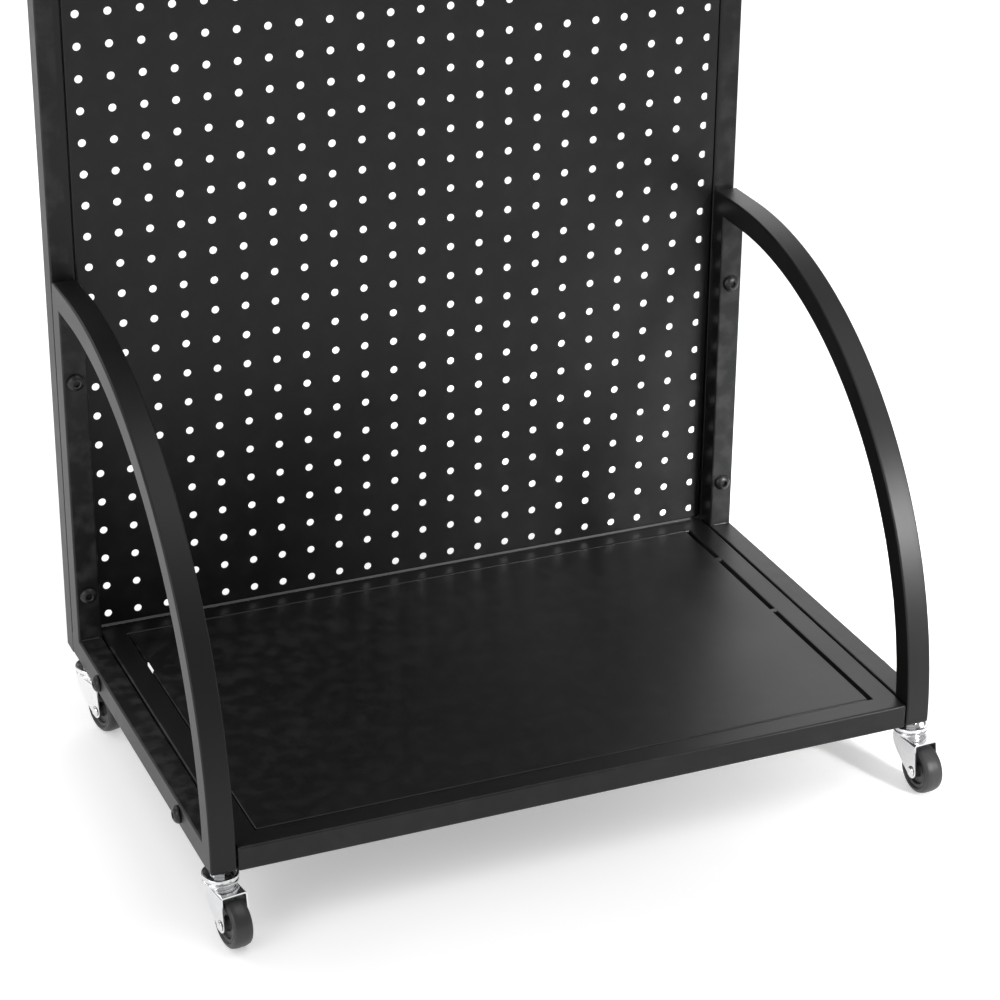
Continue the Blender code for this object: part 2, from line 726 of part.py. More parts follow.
def caster_fork(name, foot, angle):
    """Folded sheet: the side outline extruded across, slotted for the wheel, with its race."""
    place = Matrix.Translation(foot) @ Matrix.Rotation(angle, 4, "Z")
    bm = bmesh.new()
    near = [bm.verts.new((-FORK_WIDTH / 2, -ahead, up)) for ahead, up in fork_outline()]
    face = bm.faces.new(near)
    extruded = bmesh.ops.extrude_face_region(bm, geom=[face])
    across = [v for v in extruded["geom"] if isinstance(v, bmesh.types.BMVert)]
    bmesh.ops.translate(bm, verts=across, vec=(FORK_WIDTH, 0, 0))
    bmesh.ops.recalc_face_normals(bm, faces=bm.faces)
    top = BASE_BOTTOM - FORK_TOP_DROP
    shoulders = [e for e in edges_along(bm, (0, 1, 0)) if e.verts[0].co.z > top - GAP]
    bevel_edges(bm, shoulders, FORK_BEND, 3)
    bm.transform(Matrix.Translation(-foot) @ place)
    fork = add_object(f"caster_fork_{name}", bm, ZINC)
    fork.location = foot

    slot = bmesh.new()
    inside = FORK_WIDTH / 2 - FORK_SHEET
    box(slot, (-inside, -2 * TRAIL, -GAP), (inside, 2 * FORK_BACK, top - FORK_SHEET))
    slot.transform(place)
    boolean(fork, add_cutter(f"slot_in_fork_{name}", slot))

    race_top = BASE_BOTTOM - RACE_BOTTOM - RACE_GAP
    profile = [
        (0.0, top - FORK_SHEET),
        (LOWER_RACE_RADIUS - RACE_CHAMFER, top - FORK_SHEET),
        (LOWER_RACE_RADIUS, top),
        (LOWER_RACE_RADIUS, race_top - RACE_CHAMFER),
        (LOWER_RACE_RADIUS - RACE_CHAMFER, race_top),
        (0.0, race_top),
    ]
    race = bmesh.new()
    spindle(race, profile, 16, place)
    boolean(fork, add_cutter(f"race_of_fork_{name}", race), "UNION")

    bore = bmesh.new()
    cylinder(
        bore,
        foot + Vector((0, 0, top - 2 * FORK_SHEET)),
        (0, 0, 1),
        FORK_TOP_DROP,
        KING_PIN_RADIUS + KING_PIN_PLAY,
        16,
    )
    boolean(fork, add_cutter(f"bore_of_fork_{name}", bore))

    pin = bmesh.new()
    start = place @ Vector((-FORK_WIDTH, -TRAIL, WHEEL_RADIUS))
    cylinder(pin, start, place.to_3x3() @ Vector((1, 0, 0)), 2 * FORK_WIDTH, AXLE_RADIUS + GAP)
    boolean(fork, add_cutter(f"axle_hole_in_fork_{name}", pin))


def axle_frame(foot, angle):
    """Matrix of the wheel's axle: +Z along the axle, origin at the wheel's centre."""
    place = Matrix.Translation(foot) @ Matrix.Rotation(angle, 4, "Z")
    centre = place @ Vector((0, -TRAIL, WHEEL_RADIUS))
    return pointing(centre, place.to_3x3() @ Vector((1, 0, 0)))


def caster_axle(name, foot, angle):
    """A riveted axle with a low head on each side of the fork."""
    inner = FORK_WIDTH / 2 + GAP
    outer = inner + AXLE_HEAD_HEIGHT
    profile = [
        (0.0, -outer),
        (AXLE_HEAD_FLAT, -outer),
        (AXLE_HEAD_RADIUS, -inner - AXLE_HEAD_EDGE),
        (AXLE_HEAD_RADIUS, -inner),
        (AXLE_RADIUS, -inner),
    ]
    profile += [(r, -z) for r, z in reversed(profile)]
    bm = bmesh.new()
    spindle(bm, profile, 12, axle_frame(foot, angle))
    add_object(f"caster_axle_{name}", bm, ZINC)


def place_on_axle(obj, frame):
    """Moves an object's origin to the wheel's centre without moving its mesh."""
    centre = frame.to_translation()
    obj.data.transform(Matrix.Translation(-centre))
    obj.location = centre


def caster_wheel(name, foot, angle):
    """Plastic wheel centre with a hub bore, and the rubber tyre round it."""
    frame = axle_frame(foot, angle)
    half = WHEEL_WIDTH / 2
    bore = AXLE_RADIUS + WHEEL_PLAY
    hub = half + HUB_PROUD
    web = half - WEB_RECESS
    side = [(CORE_RADIUS, web), (HUB_ROOT_RADIUS, web), (HUB_RADIUS, hub), (bore, hub)]
    core = [(r, -z) for r, z in reversed(side)] + side
    bm = bmesh.new()
    lathe(bm, core, 16, frame)
    place_on_axle(add_object(f"caster_wheel_{name}", bm, BLACK_PLASTIC), frame)

    shoulder = [(WHEEL_RADIUS - down, half - across) for down, across in TYRE_SHOULDER]
    side = [(CORE_RADIUS + WHEEL_PLAY, half), *shoulder]
    tyre = side + [(r, -z) for r, z in reversed(side)]
    bm = bmesh.new()
    lathe(bm, tyre, 24, frame)
    place_on_axle(add_object(f"caster_tyre_{name}", bm, TYRE_RUBBER), frame)


def casters():
    for name, foot, angle in caster_places():
        caster_stem(name, foot)
        caster_nut(name, foot)
        caster_fork(name, foot, angle)
        caster_axle(name, foot, angle)
        caster_wheel(name, foot, angle)


back_posts()
back_rails()
post_caps()
pegboard_panel()
uprights()
bottom_rails()
arches()
shelf_rails()
shelf_sheet()
frame_bolts()
casters()
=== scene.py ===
"""Looks of a mobile pegboard display stand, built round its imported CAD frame."""
import json
import math

import bmesh
import bpy
from mathutils import Matrix, Vector


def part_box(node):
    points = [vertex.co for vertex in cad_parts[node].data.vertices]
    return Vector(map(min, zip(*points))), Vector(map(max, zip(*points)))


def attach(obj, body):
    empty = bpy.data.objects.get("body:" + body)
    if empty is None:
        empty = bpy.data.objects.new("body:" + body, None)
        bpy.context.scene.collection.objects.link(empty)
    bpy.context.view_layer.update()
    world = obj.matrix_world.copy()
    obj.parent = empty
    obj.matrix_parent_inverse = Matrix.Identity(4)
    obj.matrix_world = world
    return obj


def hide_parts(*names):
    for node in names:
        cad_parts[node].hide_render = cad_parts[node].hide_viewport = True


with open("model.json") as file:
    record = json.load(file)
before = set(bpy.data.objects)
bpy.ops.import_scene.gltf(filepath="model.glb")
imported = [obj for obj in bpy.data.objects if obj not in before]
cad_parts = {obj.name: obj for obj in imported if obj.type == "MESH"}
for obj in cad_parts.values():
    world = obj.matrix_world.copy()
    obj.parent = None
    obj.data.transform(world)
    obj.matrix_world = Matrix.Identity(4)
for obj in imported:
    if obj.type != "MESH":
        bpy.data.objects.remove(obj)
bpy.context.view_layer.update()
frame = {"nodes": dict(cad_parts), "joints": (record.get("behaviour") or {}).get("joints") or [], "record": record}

# Sizes of the real object in metres, as the CAD has them
TUBE = 0.020
WALL = 0.0012
TUBE_RADIUS = 0.0018
GAP = 0.0003
PITCH = 0.0254
HOLE_RADIUS = 0.0032
HOLE_COLUMNS = 22
HOLE_ROWS = 55
HOLE_CORNERS = 16
HOLE_LIP = 0.0003
FIRST_HOLE = 0.0104         # above the top of the base
SHEET = 0.001
PANEL_BEND = 0.0015
SHELF_BEND = 0.0012
ARCH_STRAIGHT = 0.044       # straight run behind the arch's quarter circle
ARCH_END = 0.0030           # rounding of an arch's ends
RAIL_END = 0.0022           # rounding of the shelf rails' ends
CORNER_GRIND = (0.006, 0.011)   # depth and height ground off an arch's rear top corner
DRAIN_X = 0.2
DRAIN_RADIUS = 0.003
BEAD_RADIUS = 0.0014
BEAD_RIPPLE = 0.0011        # length of a ripple along a weld bead
BOLT_HEAD_HEIGHT = 0.0044
BOLT_HEAD_RADIUS = 0.007
BOLT_HEAD_EDGE = 0.0006     # straight edge below the dome
BOLT_DOME_ANGLE = math.radians(60)
BOLT_SHANK_RADIUS = 0.0038
BOLT_SHANK = 0.010
BOLT_LENGTH = 0.030
BOLT_HOLE_RADIUS = 0.0044
THREAD_PITCH = 0.00125
STEM_HOLE_RADIUS = 0.0055
HEX_SOCKET = 0.005
HEX_DEPTH = 0.0028
CAP_EDGE = 0.0008
CAP_RIB = 0.0008
CAP_RIB_PITCH = 0.004
COLLAR_HEIGHT = 0.0038
COLLAR_FLAT = 0.0064        # from the axis to a flat
FORK_TOP = 0.0105           # the fork's top plate, below the tubes
FORK_WIDTH = 0.0215
FORK_SHEET = 0.0014
FORK_SHOULDER = 0.0022
FORK_BACK = 0.0078          # the plate's reach behind the swivel axis
FORK_NECK = 0.0025          # and ahead of the axle
FORK_LOBE = 0.006
FORK_HOLE_RADIUS = 0.0049
AXLE_HEAD = 0.0013
SLOT_RIGHT = 0.0034         # open slot along the shelf sheet's right edge
SLOT = 0.0004               # seam along its other edges
SHELF_FLANGE = 0.015
WELD_TAB = (0.005, 0.0018)  # length along the slot and depth of a tab across it
REAR_TAB = 0.060            # the rear tab, from the sheet's back edge
RELIEF = (0.018, 0.0016)    # length and depth of the relief in its left edge
RELIEF_Y = 0.1085
CORNER_STEPS = 6            # facets round a tube's corner
CLEAR = 0.002               # how far a cutter reaches past what it cuts

SIDES = (("left", -1), ("right", 1))
CASTERS = ("front_left", "front_right", "rear_left", "rear_right")
JOINTS = {joint["name"]: joint for joint in frame["joints"]}
BODY_OF = {
    node: body
    for body, nodes in frame["record"]["behaviour"]["bodies"].items()
    for node in nodes
}


# Meshes and pieces

def mesh_object(name, bm):
    bmesh.ops.recalc_face_normals(bm, faces=bm.faces)
    mesh = bpy.data.meshes.new(name)
    bm.to_mesh(mesh)
    bm.free()
    obj = bpy.data.objects.new(name, mesh)
    bpy.context.scene.collection.objects.link(obj)
    return obj


def apply_modifiers(obj):
    depsgraph = bpy.context.evaluated_depsgraph_get()
    mesh = bpy.data.meshes.new_from_object(obj.evaluated_get(depsgraph))
    before = obj.data
    obj.modifiers.clear()
    obj.data = mesh
    bpy.data.meshes.remove(before)


def combine(obj, bm, operation="DIFFERENCE"):
    """Joins the solid in bm to obj, or cuts it out of obj."""
    tool = mesh_object("tool", bm)
    modifier = obj.modifiers.new("tool", "BOOLEAN")
    modifier.operation = operation
    modifier.solver = "EXACT"
    modifier.object = tool
    apply_modifiers(obj)
    mesh = tool.data
    bpy.data.objects.remove(tool)
    bpy.data.meshes.remove(mesh)


def soften(obj, width, segments=2, angle=40.0):
    """Rounds the edges that are still sharp."""
    modifier = obj.modifiers.new("edges", "BEVEL")
    modifier.width = width
    modifier.segments = segments
    modifier.limit_method = "ANGLE"
    modifier.angle_limit = math.radians(angle)
    apply_modifiers(obj)


def finish_piece(obj, material, nodes=(), body=None, sharp=35.0):
    """Shades a piece, gives it its finish and its body, and hides the CAD nodes it stands for."""
    mesh = obj.data
    mesh.materials.clear()
    mesh.materials.append(material)
    mesh.shade_smooth()
    mesh.set_sharp_from_angle(angle=math.radians(sharp))
    normals = obj.modifiers.new("normals", "WEIGHTED_NORMAL")
    normals.keep_sharp = True
    normals.weight = 80
    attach(obj, body or BODY_OF[nodes[0]])
    if nodes:
        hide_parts(*nodes)
    return obj


# Shapes

def outline(width, height, radius, steps=CORNER_STEPS):
    """Corner points of a rounded rectangle about the origin."""
    points = []
    for quarter, (u, v) in enumerate(((1, 1), (-1, 1), (-1, -1), (1, -1))):
        for step in range(steps + 1):
            angle = math.radians(90 * quarter + 90 * step / steps)
            points.append((
                u * (width / 2 - radius) + radius * math.cos(angle),
                v * (height / 2 - radius) + radius * math.sin(angle),
            ))
    return points


def skin(bm, here, after):
    """Faces between two closed rings of vertices."""
    for i in range(len(here)):
        j = (i + 1) % len(here)
        bm.faces.new((here[i], here[j], after[j], after[i]))


def sweep(stations, width, height, radius):
    """A solid bar through stations, each (centre, across, up, inset of the section)."""
    bm = bmesh.new()
    rings = []
    for centre, across, up, inset in stations:
        corner = max(radius - inset, radius * 0.05)
        points = outline(width - 2 * inset, height - 2 * inset, corner)
        rings.append([bm.verts.new(centre + across * u + up * v) for u, v in points])
    for here, after in zip(rings, rings[1:]):
        skin(bm, here, after)
    bm.faces.new(rings[0])
    bm.faces.new(rings[-1][::-1])
    return bm


def rounding(radius, steps=5):
    """(distance from the end, inset) of each section of a rounded end, the end first."""
    if not radius:
        return [(0.0, 0.0)]
    turns = [math.pi / 2 * step / steps for step in range(steps + 1)]
    return [(radius * (1 - math.sin(a)), radius * (1 - math.cos(a))) for a in reversed(turns)]


def bar(low, high, axis, radius=TUBE_RADIUS, ends=0.0):
    """A square bar between two corners, its long edges rounded and its ends if asked."""
    low, high = Vector(low), Vector(high)
    u, v = [i for i in range(3) if i != axis]
    middle = (low + high) / 2
    across, up = Vector(), Vector()
    across[u] = 1.0
    up[v] = 1.0
    stations = []
    for distance, inset in rounding(ends):
        centre = middle.copy()
        centre[axis] = low[axis] + distance
        stations.append((centre, across, up, inset))
    for distance, inset in reversed(rounding(ends)):
        centre = middle.copy()
        centre[axis] = high[axis] - distance
        stations.append((centre, across, up, inset))
    return sweep(stations, high[u] - low[u], high[v] - low[v], radius)


def inside(low, high, axis, open_low=True, open_high=True):
    """The bar of air in a tube, through its ends where they are open."""
    low = Vector(low) + Vector((WALL,) * 3)
    high = Vector(high) - Vector((WALL,) * 3)
    low[axis] -= 2 * WALL if open_low else 0.0
    high[axis] += 2 * WALL if open_high else 0.0
    return bar(low, high, axis, TUBE_RADIUS - WALL)


def rod(start, direction, length, radius, corners=32):
    """A plain round cutter."""
    direction = Vector(direction).normalized()
    bm = bmesh.new()
    turn = direction.to_track_quat("Z", "Y").to_matrix().to_4x4()
    bmesh.ops.create_cone(
        bm,
        cap_ends=True,
        segments=corners,
        radius1=radius,
        radius2=radius,
        depth=length,
        matrix=Matrix.Translation(Vector(start) + direction * (length / 2)) @ turn,
    )
    return bm


def block(low, high):
    """A plain cutter with square corners."""
    low, high = Vector(low), Vector(high)
    bm = bmesh.new()
    matrix = Matrix.Translation((low + high) / 2) @ Matrix.Diagonal((*(high - low), 1.0))
    bmesh.ops.create_cube(bm, size=1.0, matrix=matrix)
    return bm


def fillet(points, steps=5):
    """Rounds the corners of a line of (r, z, radius) points. Gives (r, z) points."""
    made = []
    last = len(points) - 1
    for i, (r, z, radius) in enumerate(points):
        if not radius or i in (0, last):
            made.append((r, z))
            continue
        here = Vector((r, z))
        before = (Vector(points[i - 1][:2]) - here).normalized()
        after = (Vector(points[i + 1][:2]) - here).normalized()
        half = before.angle(after) / 2
        reach = radius / math.tan(half)
        start = here + before * reach
        end = here + after * reach
        centre = here + (before + after).normalized() * (radius / math.sin(half))
        a, b = start - centre, end - centre
        turn = a.angle_signed(b)
        for step in range(steps + 1):
            angle = -turn * step / steps
            cos, sin = math.cos(angle), math.sin(angle)
            made.append((
                centre.x + a.x * cos - a.y * sin,
                centre.y + a.x * sin + a.y * cos,
            ))
    return made


def turned(profile, matrix, segments=64, closed=False):
    """Turns a line of (r, z) points about Z. A point on the axis closes the shape there."""
    bm = bmesh.new()
    rings = []
    for r, z in profile:
        if r < 1e-7:
            rings.append([bm.verts.new(matrix @ Vector((0, 0, z)))])
            continue
        ring = []
        for step in range(segments):
            angle = 2 * math.pi * step / segments
            point = Vector((r * math.cos(angle), r * math.sin(angle), z))
            ring.append(bm.verts.new(matrix @ point))
        rings.append(ring)
    pairs = list(zip(rings, rings[1:]))
    if closed:
        pairs.append((rings[-1], rings[0]))
    for here, after in pairs:
        if len(here) == 1 or len(after) == 1:
            pole, ring = (here[0], after) if len(here) == 1 else (after[0], here)
            for i in range(segments):
                bm.faces.new((pole, ring[i], ring[(i + 1) % segments]))
        else:
            skin(bm, here, after)
    return bm


def pointing(position, direction):
    turn = Vector(direction).to_track_quat("Z", "Y").to_matrix().to_4x4()
    return Matrix.Translation(Vector(position)) @ turn


# Materials

def add_node(tree, kind, **inputs):
    node = tree.nodes.new(kind)
    for key, value in inputs.items():
        node.inputs[key.replace("_", " ")].default_value = value
    return node


def noise(tree, vector, scale, detail=2.0):
    node = add_node(tree, "ShaderNodeTexNoise", Scale=scale, Detail=detail)
    tree.links.new(vector, node.inputs["Vector"])
    return node.outputs["Fac"]


def remap(tree, value, low, high, to_low, to_high):
    node = tree.nodes.new("ShaderNodeMapRange")
    names = ("From Min", "From Max", "To Min", "To Max")
    for socket, number in zip(names, (low, high, to_low, to_high)):
        node.inputs[socket].default_value = number
    tree.links.new(value, node.inputs["Value"])
    return node.outputs["Result"]


def multiply(tree, first, second):
    node = tree.nodes.new("ShaderNodeMath")
    node.operation = "MULTIPLY"
    tree.links.new(first, node.inputs[0])
    tree.links.new(second, node.inputs[1])
    return node.outputs["Value"]


def blend_colours(tree, factor, first, second):
    """Mixes two colours, each a plain colour or a socket."""
    node = tree.nodes.new("ShaderNodeMix")
    node.data_type = "RGBA"
    tree.links.new(factor, node.inputs["Factor"])
    for socket, colour in ((node.inputs[6], first), (node.inputs[7], second)):
        if isinstance(colour, tuple):
            socket.default_value = (*colour, 1.0)
        else:
            tree.links.new(colour, socket)
    return node.outputs[2]


def blend_values(tree, factor, first, second):
    node = tree.nodes.new("ShaderNodeMix")
    tree.links.new(factor, node.inputs["Factor"])
    tree.links.new(first, node.inputs[2])
    node.inputs[3].default_value = second
    return node.outputs[0]


def bump(tree, height, distance, strength, before=None):
    node = add_node(tree, "ShaderNodeBump", Strength=strength, Distance=distance)
    tree.links.new(height, node.inputs["Height"])
    if before is not None:
        tree.links.new(before, node.inputs["Normal"])
    return node.outputs["Normal"]


def surface(name, dark, light, rough, grain, peel, wear, metallic=0.0, ior=1.5):
    """A finish with blotches, grain, orange peel and paler, rougher edges.

    rough is (least, most) roughness; grain and peel are (scale, bump distance);
    wear is (colour, roughness, how much of the edges it takes)."""
    material = bpy.data.materials.new(name)
    material.use_nodes = True
    tree = material.node_tree
    shader = tree.nodes["Principled BSDF"]
    place = tree.nodes.new("ShaderNodeTexCoord").outputs["Object"]
    blotches = noise(tree, place, 9.0, 4.0)
    specks = noise(tree, place, grain[0], 3.0)
    ripples = noise(tree, place, peel[0], 1.0)
    patches = noise(tree, place, 70.0, 5.0)
    colour = blend_colours(tree, remap(tree, blotches, 0.3, 0.7, 0.0, 1.0), dark, light)
    colour = blend_colours(tree, remap(tree, specks, 0.58, 0.75, 0.0, 0.5), colour, light)
    pointed = tree.nodes.new("ShaderNodeNewGeometry").outputs["Pointiness"]
    edges = remap(tree, pointed, 0.515, 0.56, 0.0, 1.0)
    worn = multiply(tree, edges, remap(tree, patches, 0.45, 0.65, 0.0, wear[2]))
    colour = blend_colours(tree, worn, colour, wear[0])
    tree.links.new(colour, shader.inputs["Base Color"])
    roughness = remap(tree, blotches, 0.3, 0.7, rough[0], rough[1])
    roughness = blend_values(tree, worn, roughness, wear[1])
    tree.links.new(roughness, shader.inputs["Roughness"])
    normal = bump(tree, ripples, peel[1], 0.6)
    normal = bump(tree, specks, grain[1], 0.7, normal)
    tree.links.new(normal, shader.inputs["Normal"])
    shader.inputs["Metallic"].default_value = metallic
    shader.inputs["IOR"].default_value = ior
    return material


COAT = surface(
    "powder_coat", (0.0027, 0.0028, 0.0030), (0.0066, 0.0067, 0.0070), (0.37, 0.43),
    (1100.0, 0.00007), (420.0, 0.00002), ((0.032, 0.032, 0.033), 0.5, 0.55), ior=1.39,
)
BOLT = surface(
    "black_bolt", (0.004, 0.004, 0.0045), (0.008, 0.008, 0.0085), (0.34, 0.46),
    (2500.0, 0.00003), (900.0, 0.00004), ((0.06, 0.06, 0.062), 0.4, 0.7), ior=1.45,
)
ZINC = surface(
    "zinc_plate", (0.74, 0.75, 0.76), (0.84, 0.84, 0.85), (0.13, 0.22),
    (1800.0, 0.00001), (260.0, 0.00002), ((0.90, 0.90, 0.91), 0.26, 0.5), metallic=1.0,
)
STEEL = surface(
    "plain_steel", (0.36, 0.36, 0.37), (0.48, 0.48, 0.49), (0.32, 0.46),
    (2200.0, 0.00002), (500.0, 0.00003), ((0.6, 0.6, 0.6), 0.4, 0.5), metallic=1.0,
)
RUBBER = surface(
    "tyre_rubber", (0.018, 0.018, 0.019), (0.028, 0.028, 0.030), (0.34, 0.48),
    (2400.0, 0.00004), (500.0, 0.00006), ((0.06, 0.06, 0.06), 0.6, 0.5),
)
WHEEL_PLASTIC = surface(
    "wheel_plastic", (0.012, 0.012, 0.013), (0.018, 0.018, 0.019), (0.34, 0.44),
    (2600.0, 0.00002), (700.0, 0.00003), ((0.05, 0.05, 0.05), 0.5, 0.5),
)
CAP_PLASTIC = surface(
    "cap_plastic", (0.012, 0.012, 0.013), (0.018, 0.018, 0.019), (0.42, 0.52),
    (1600.0, 0.00004), (600.0, 0.00005), ((0.04, 0.04, 0.04), 0.5, 0.5),
)


# Welded frames

def node_boxes(*nodes):
    return [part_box(node) for node in nodes]


def back_frame():
    """Posts and cross rails welded into one frame, hollow, with open post ends."""
    nodes = ("back_post_left", "back_post_right", "back_bottom_rail", "back_top_rail")
    left, right, bottom, top = node_boxes(*nodes)
    obj = mesh_object("back_frame", bar(*left, 2))
    combine(obj, bar(*right, 2), "UNION")
    for low, high in (bottom, top):
        low = Vector((left[1].x - TUBE / 2, low.y, low.z))
        high = Vector((right[0].x + TUBE / 2, high.y, high.z))
        combine(obj, bar(low, high, 0), "UNION")
    for low, high in (left, right):
        combine(obj, inside(low, high, 2))
    for low, high in (bottom, top):
        combine(obj, inside(low, high, 0, False, False))
    for side, _ in SIDES:
        for level in ("lower", "upper"):
            low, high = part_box(f"upright_bolt_{side}_{level}")
            start = ((low.x + high.x) / 2, left[0].y - WALL, (low.z + high.z) / 2)
            combine(obj, rod(start, (0, 1, 0), 3 * WALL, BOLT_HOLE_RADIUS))
    finish_piece(obj, COAT, nodes)


def arch_stations(low, high, radius_out, shrink, steps=60):
    """Sections of an arch from its foot to its rear end, shrink smaller all round."""
    middle = (low.x + high.x) / 2
    centre = Vector((middle, low.y + radius_out, high.z - radius_out))
    mean = radius_out - TUBE / 2
    across = Vector((1, 0, 0))
    stations = []
    for distance, inset in rounding(0.0 if shrink else ARCH_END):
        place = Vector((middle, low.y + TUBE / 2, low.z + shrink + distance))
        stations.append((place, across, Vector((0, -1, 0)), inset))
    for step in range(steps + 1):
        angle = math.pi / 2 * step / steps
        out = Vector((0, -math.cos(angle), math.sin(angle)))
        stations.append((centre + out * mean, across, out, 0.0))
    for distance, inset in reversed(rounding(0.0 if shrink else ARCH_END)):
        place = Vector((middle, high.y - shrink - distance, high.z - TUBE / 2))
        stations.append((place, across, Vector((0, 0, 1)), inset))
    return stations


def corner_cut(arch, depth, height, steps=10):
    """What is ground off an arch's rear top corner, outside a quarter of an ellipse."""
    low, high = arch
    turns = [math.pi / 2 * k / steps for k in range(steps + 1)]
    points = [
        (high.y - depth + depth * math.cos(a), high.z - height + height * math.sin(a))
        for a in turns
    ]
    points += [(high.y - depth, high.z + CLEAR), (high.y + CLEAR, high.z + CLEAR),
               (high.y + CLEAR, high.z - height)]
    bm = bmesh.new()
    rings = [
        [bm.verts.new((x, y, z)) for y, z in points] for x in (low.x - CLEAR, high.x + CLEAR)
    ]
    skin(bm, *rings)
    bm.faces.new(rings[0])
    bm.faces.new(rings[1][::-1])
    return bm


def side_frame(side):
    """Arch, upright and bottom rail welded into one frame and ground flush."""
    nodes = (f"side_arch_{side}", f"side_upright_{side}", f"side_bottom_rail_{side}")
    arch, upright, rail = node_boxes(*nodes)
    radius_out = arch[1].y + GAP - arch[0].y - ARCH_STRAIGHT
    shape = sweep(arch_stations(*arch, radius_out, 0.0), TUBE, TUBE, TUBE_RADIUS)
    obj = mesh_object(f"side_frame_{side}", shape)
    low = Vector((arch[0].x, upright[0].y, rail[0].z + TUBE / 2))
    high = Vector((arch[1].x, arch[1].y, arch[1].z - TUBE / 2))
    combine(obj, bar(low, high, 2), "UNION")
    low = Vector((arch[0].x, arch[0].y + TUBE / 2, rail[0].z))
    combine(obj, bar(low, (arch[1].x, arch[1].y, rail[1].z), 1), "UNION")
    combine(obj, corner_cut(arch, *CORNER_GRIND))
    size = TUBE - 2 * WALL
    hollow = sweep(
        arch_stations(*arch, radius_out, WALL), size, size, TUBE_RADIUS - WALL
    )
    combine(obj, hollow)
    combine(obj, inside(
        (arch[0].x, upright[0].y, rail[1].z - WALL),
        (arch[1].x, arch[1].y, arch[1].z - TUBE + WALL), 2, False, False,
    ))
    combine(obj, inside(
        (arch[0].x, arch[0].y + TUBE, rail[0].z), (arch[1].x, arch[1].y, rail[1].z), 1, False, True
    ))
    x = (arch[0].x + arch[1].x) / 2
    for level in ("lower", "upper"):
        low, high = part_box(f"upright_bolt_{side}_{level}")
        z = (low.z + high.z) / 2
        combine(obj, rod((x, upright[0].y - WALL, z), (0, 1, 0), 2 * TUBE, BOLT_HOLE_RADIUS))
    for end in ("front", "rear"):
        low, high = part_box(f"shelf_bolt_{side}_{end}")
        y, z = (low.y + high.y) / 2, (low.z + high.z) / 2
        combine(obj, rod((x - TUBE, y, z), (1, 0, 0), 2 * TUBE, BOLT_HOLE_RADIUS))
        foot = JOINTS[f"swivel_{end}_{side}"]["pos_m"]
        start = (foot[0], foot[1], rail[0].z - WALL)
        combine(obj, rod(start, (0, 0, 1), 3 * WALL, STEM_HOLE_RADIUS))
    finish_piece(obj, COAT, nodes)


def shelf_frame():
    """Four rails welded into the shelf's frame, with drain holes underneath."""
    nodes = ("shelf_front_rail", "shelf_rear_rail", "shelf_left_rail", "shelf_right_rail")
    front, rear, left, right = node_boxes(*nodes)
    obj = mesh_object("shelf_frame", bar(*front, 0, ends=RAIL_END))
    combine(obj, bar(*rear, 0, ends=RAIL_END), "UNION")
    for low, high in (left, right):
        low = Vector((low.x, front[1].y - TUBE / 2, low.z))
        high = Vector((high.x, rear[0].y + TUBE / 2, high.z))
        combine(obj, bar(low, high, 1), "UNION")
    for low, high in (front, rear):
        combine(obj, inside(low, high, 0, False, False))
    for low, high in (left, right):
        low = Vector((low.x, front[1].y - WALL, low.z))
        high = Vector((high.x, rear[0].y + WALL, high.z))
        combine(obj, inside(low, high, 1, False, False))
    for low, high in (front, rear):
        for x in (-DRAIN_X, DRAIN_X):
            start = (x, (low.y + high.y) / 2, low.z - WALL)
            combine(obj, rod(start, (0, 0, 1), 3 * WALL, DRAIN_RADIUS))
    for side, sign in SIDES:
        for end in ("front", "rear"):
            low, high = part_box(f"shelf_bolt_{side}_{end}")
            start = (sign * (front[1].x + WALL), (low.y + high.y) / 2, (low.z + high.z) / 2)
            combine(obj, rod(start, (-sign, 0, 0), 3 * WALL, BOLT_HOLE_RADIUS))
    finish_piece(obj, COAT, nodes)


# Folded sheets

def tray(us, vs, bend, flange, place, hole=None):
    """A sheet with its four edges folded back, as one closed skin.

    us and vs are the lines that divide its flat face, hole(u, v) says where a cell has
    one, and place(u, v, depth) gives the point depth behind the face."""
    bm = bmesh.new()
    grids = []
    for depth in (0.0, SHEET):
        grids.append([[bm.verts.new(place(u, v, depth)) for v in vs] for u in us])
    for i in range(len(us) - 1):
        for j in range(len(vs) - 1):
            rings = []
            for grid, depth in zip(grids, (0.0, SHEET)):
                corners = [grid[i + 1][j + 1], grid[i][j + 1], grid[i][j], grid[i + 1][j]]
                if not hole:
                    bm.faces.new(corners)
                    continue
                lip = HOLE_LIP if depth == 0.0 else 0.0
                rings.append(pierced_cell(bm, corners, hole(i, j), lip, depth, place))
            if hole:
                u, v = hole(i, j)
                middle = [
                    bm.verts.new(place(u + a, v + b, HOLE_LIP))
                    for a, b in circle(HOLE_RADIUS)
                ]
                skin(bm, rings[0], middle)
                skin(bm, middle, rings[1])
    fold_edges(bm, us, vs, grids, bend, flange, place)
    return bm


def circle(radius):
    return [
        (radius * math.cos(math.radians(45 + 360 * i / HOLE_CORNERS)),
         radius * math.sin(math.radians(45 + 360 * i / HOLE_CORNERS)))
        for i in range(HOLE_CORNERS)
    ]


def pierced_cell(bm, corners, middle, lip, depth, place):
    """Four faces from a cell's corners to the round hole in it. Gives the hole's ring."""
    ring = [
        bm.verts.new(place(middle[0] + a, middle[1] + b, depth))
        for a, b in circle(HOLE_RADIUS + lip)
    ]
    quarter = HOLE_CORNERS // 4
    for side in range(4):
        arc = [ring[(side * quarter + k) % HOLE_CORNERS] for k in range(quarter + 1)]
        bm.faces.new([corners[(side + 1) % 4], corners[side], *arc])
    return ring


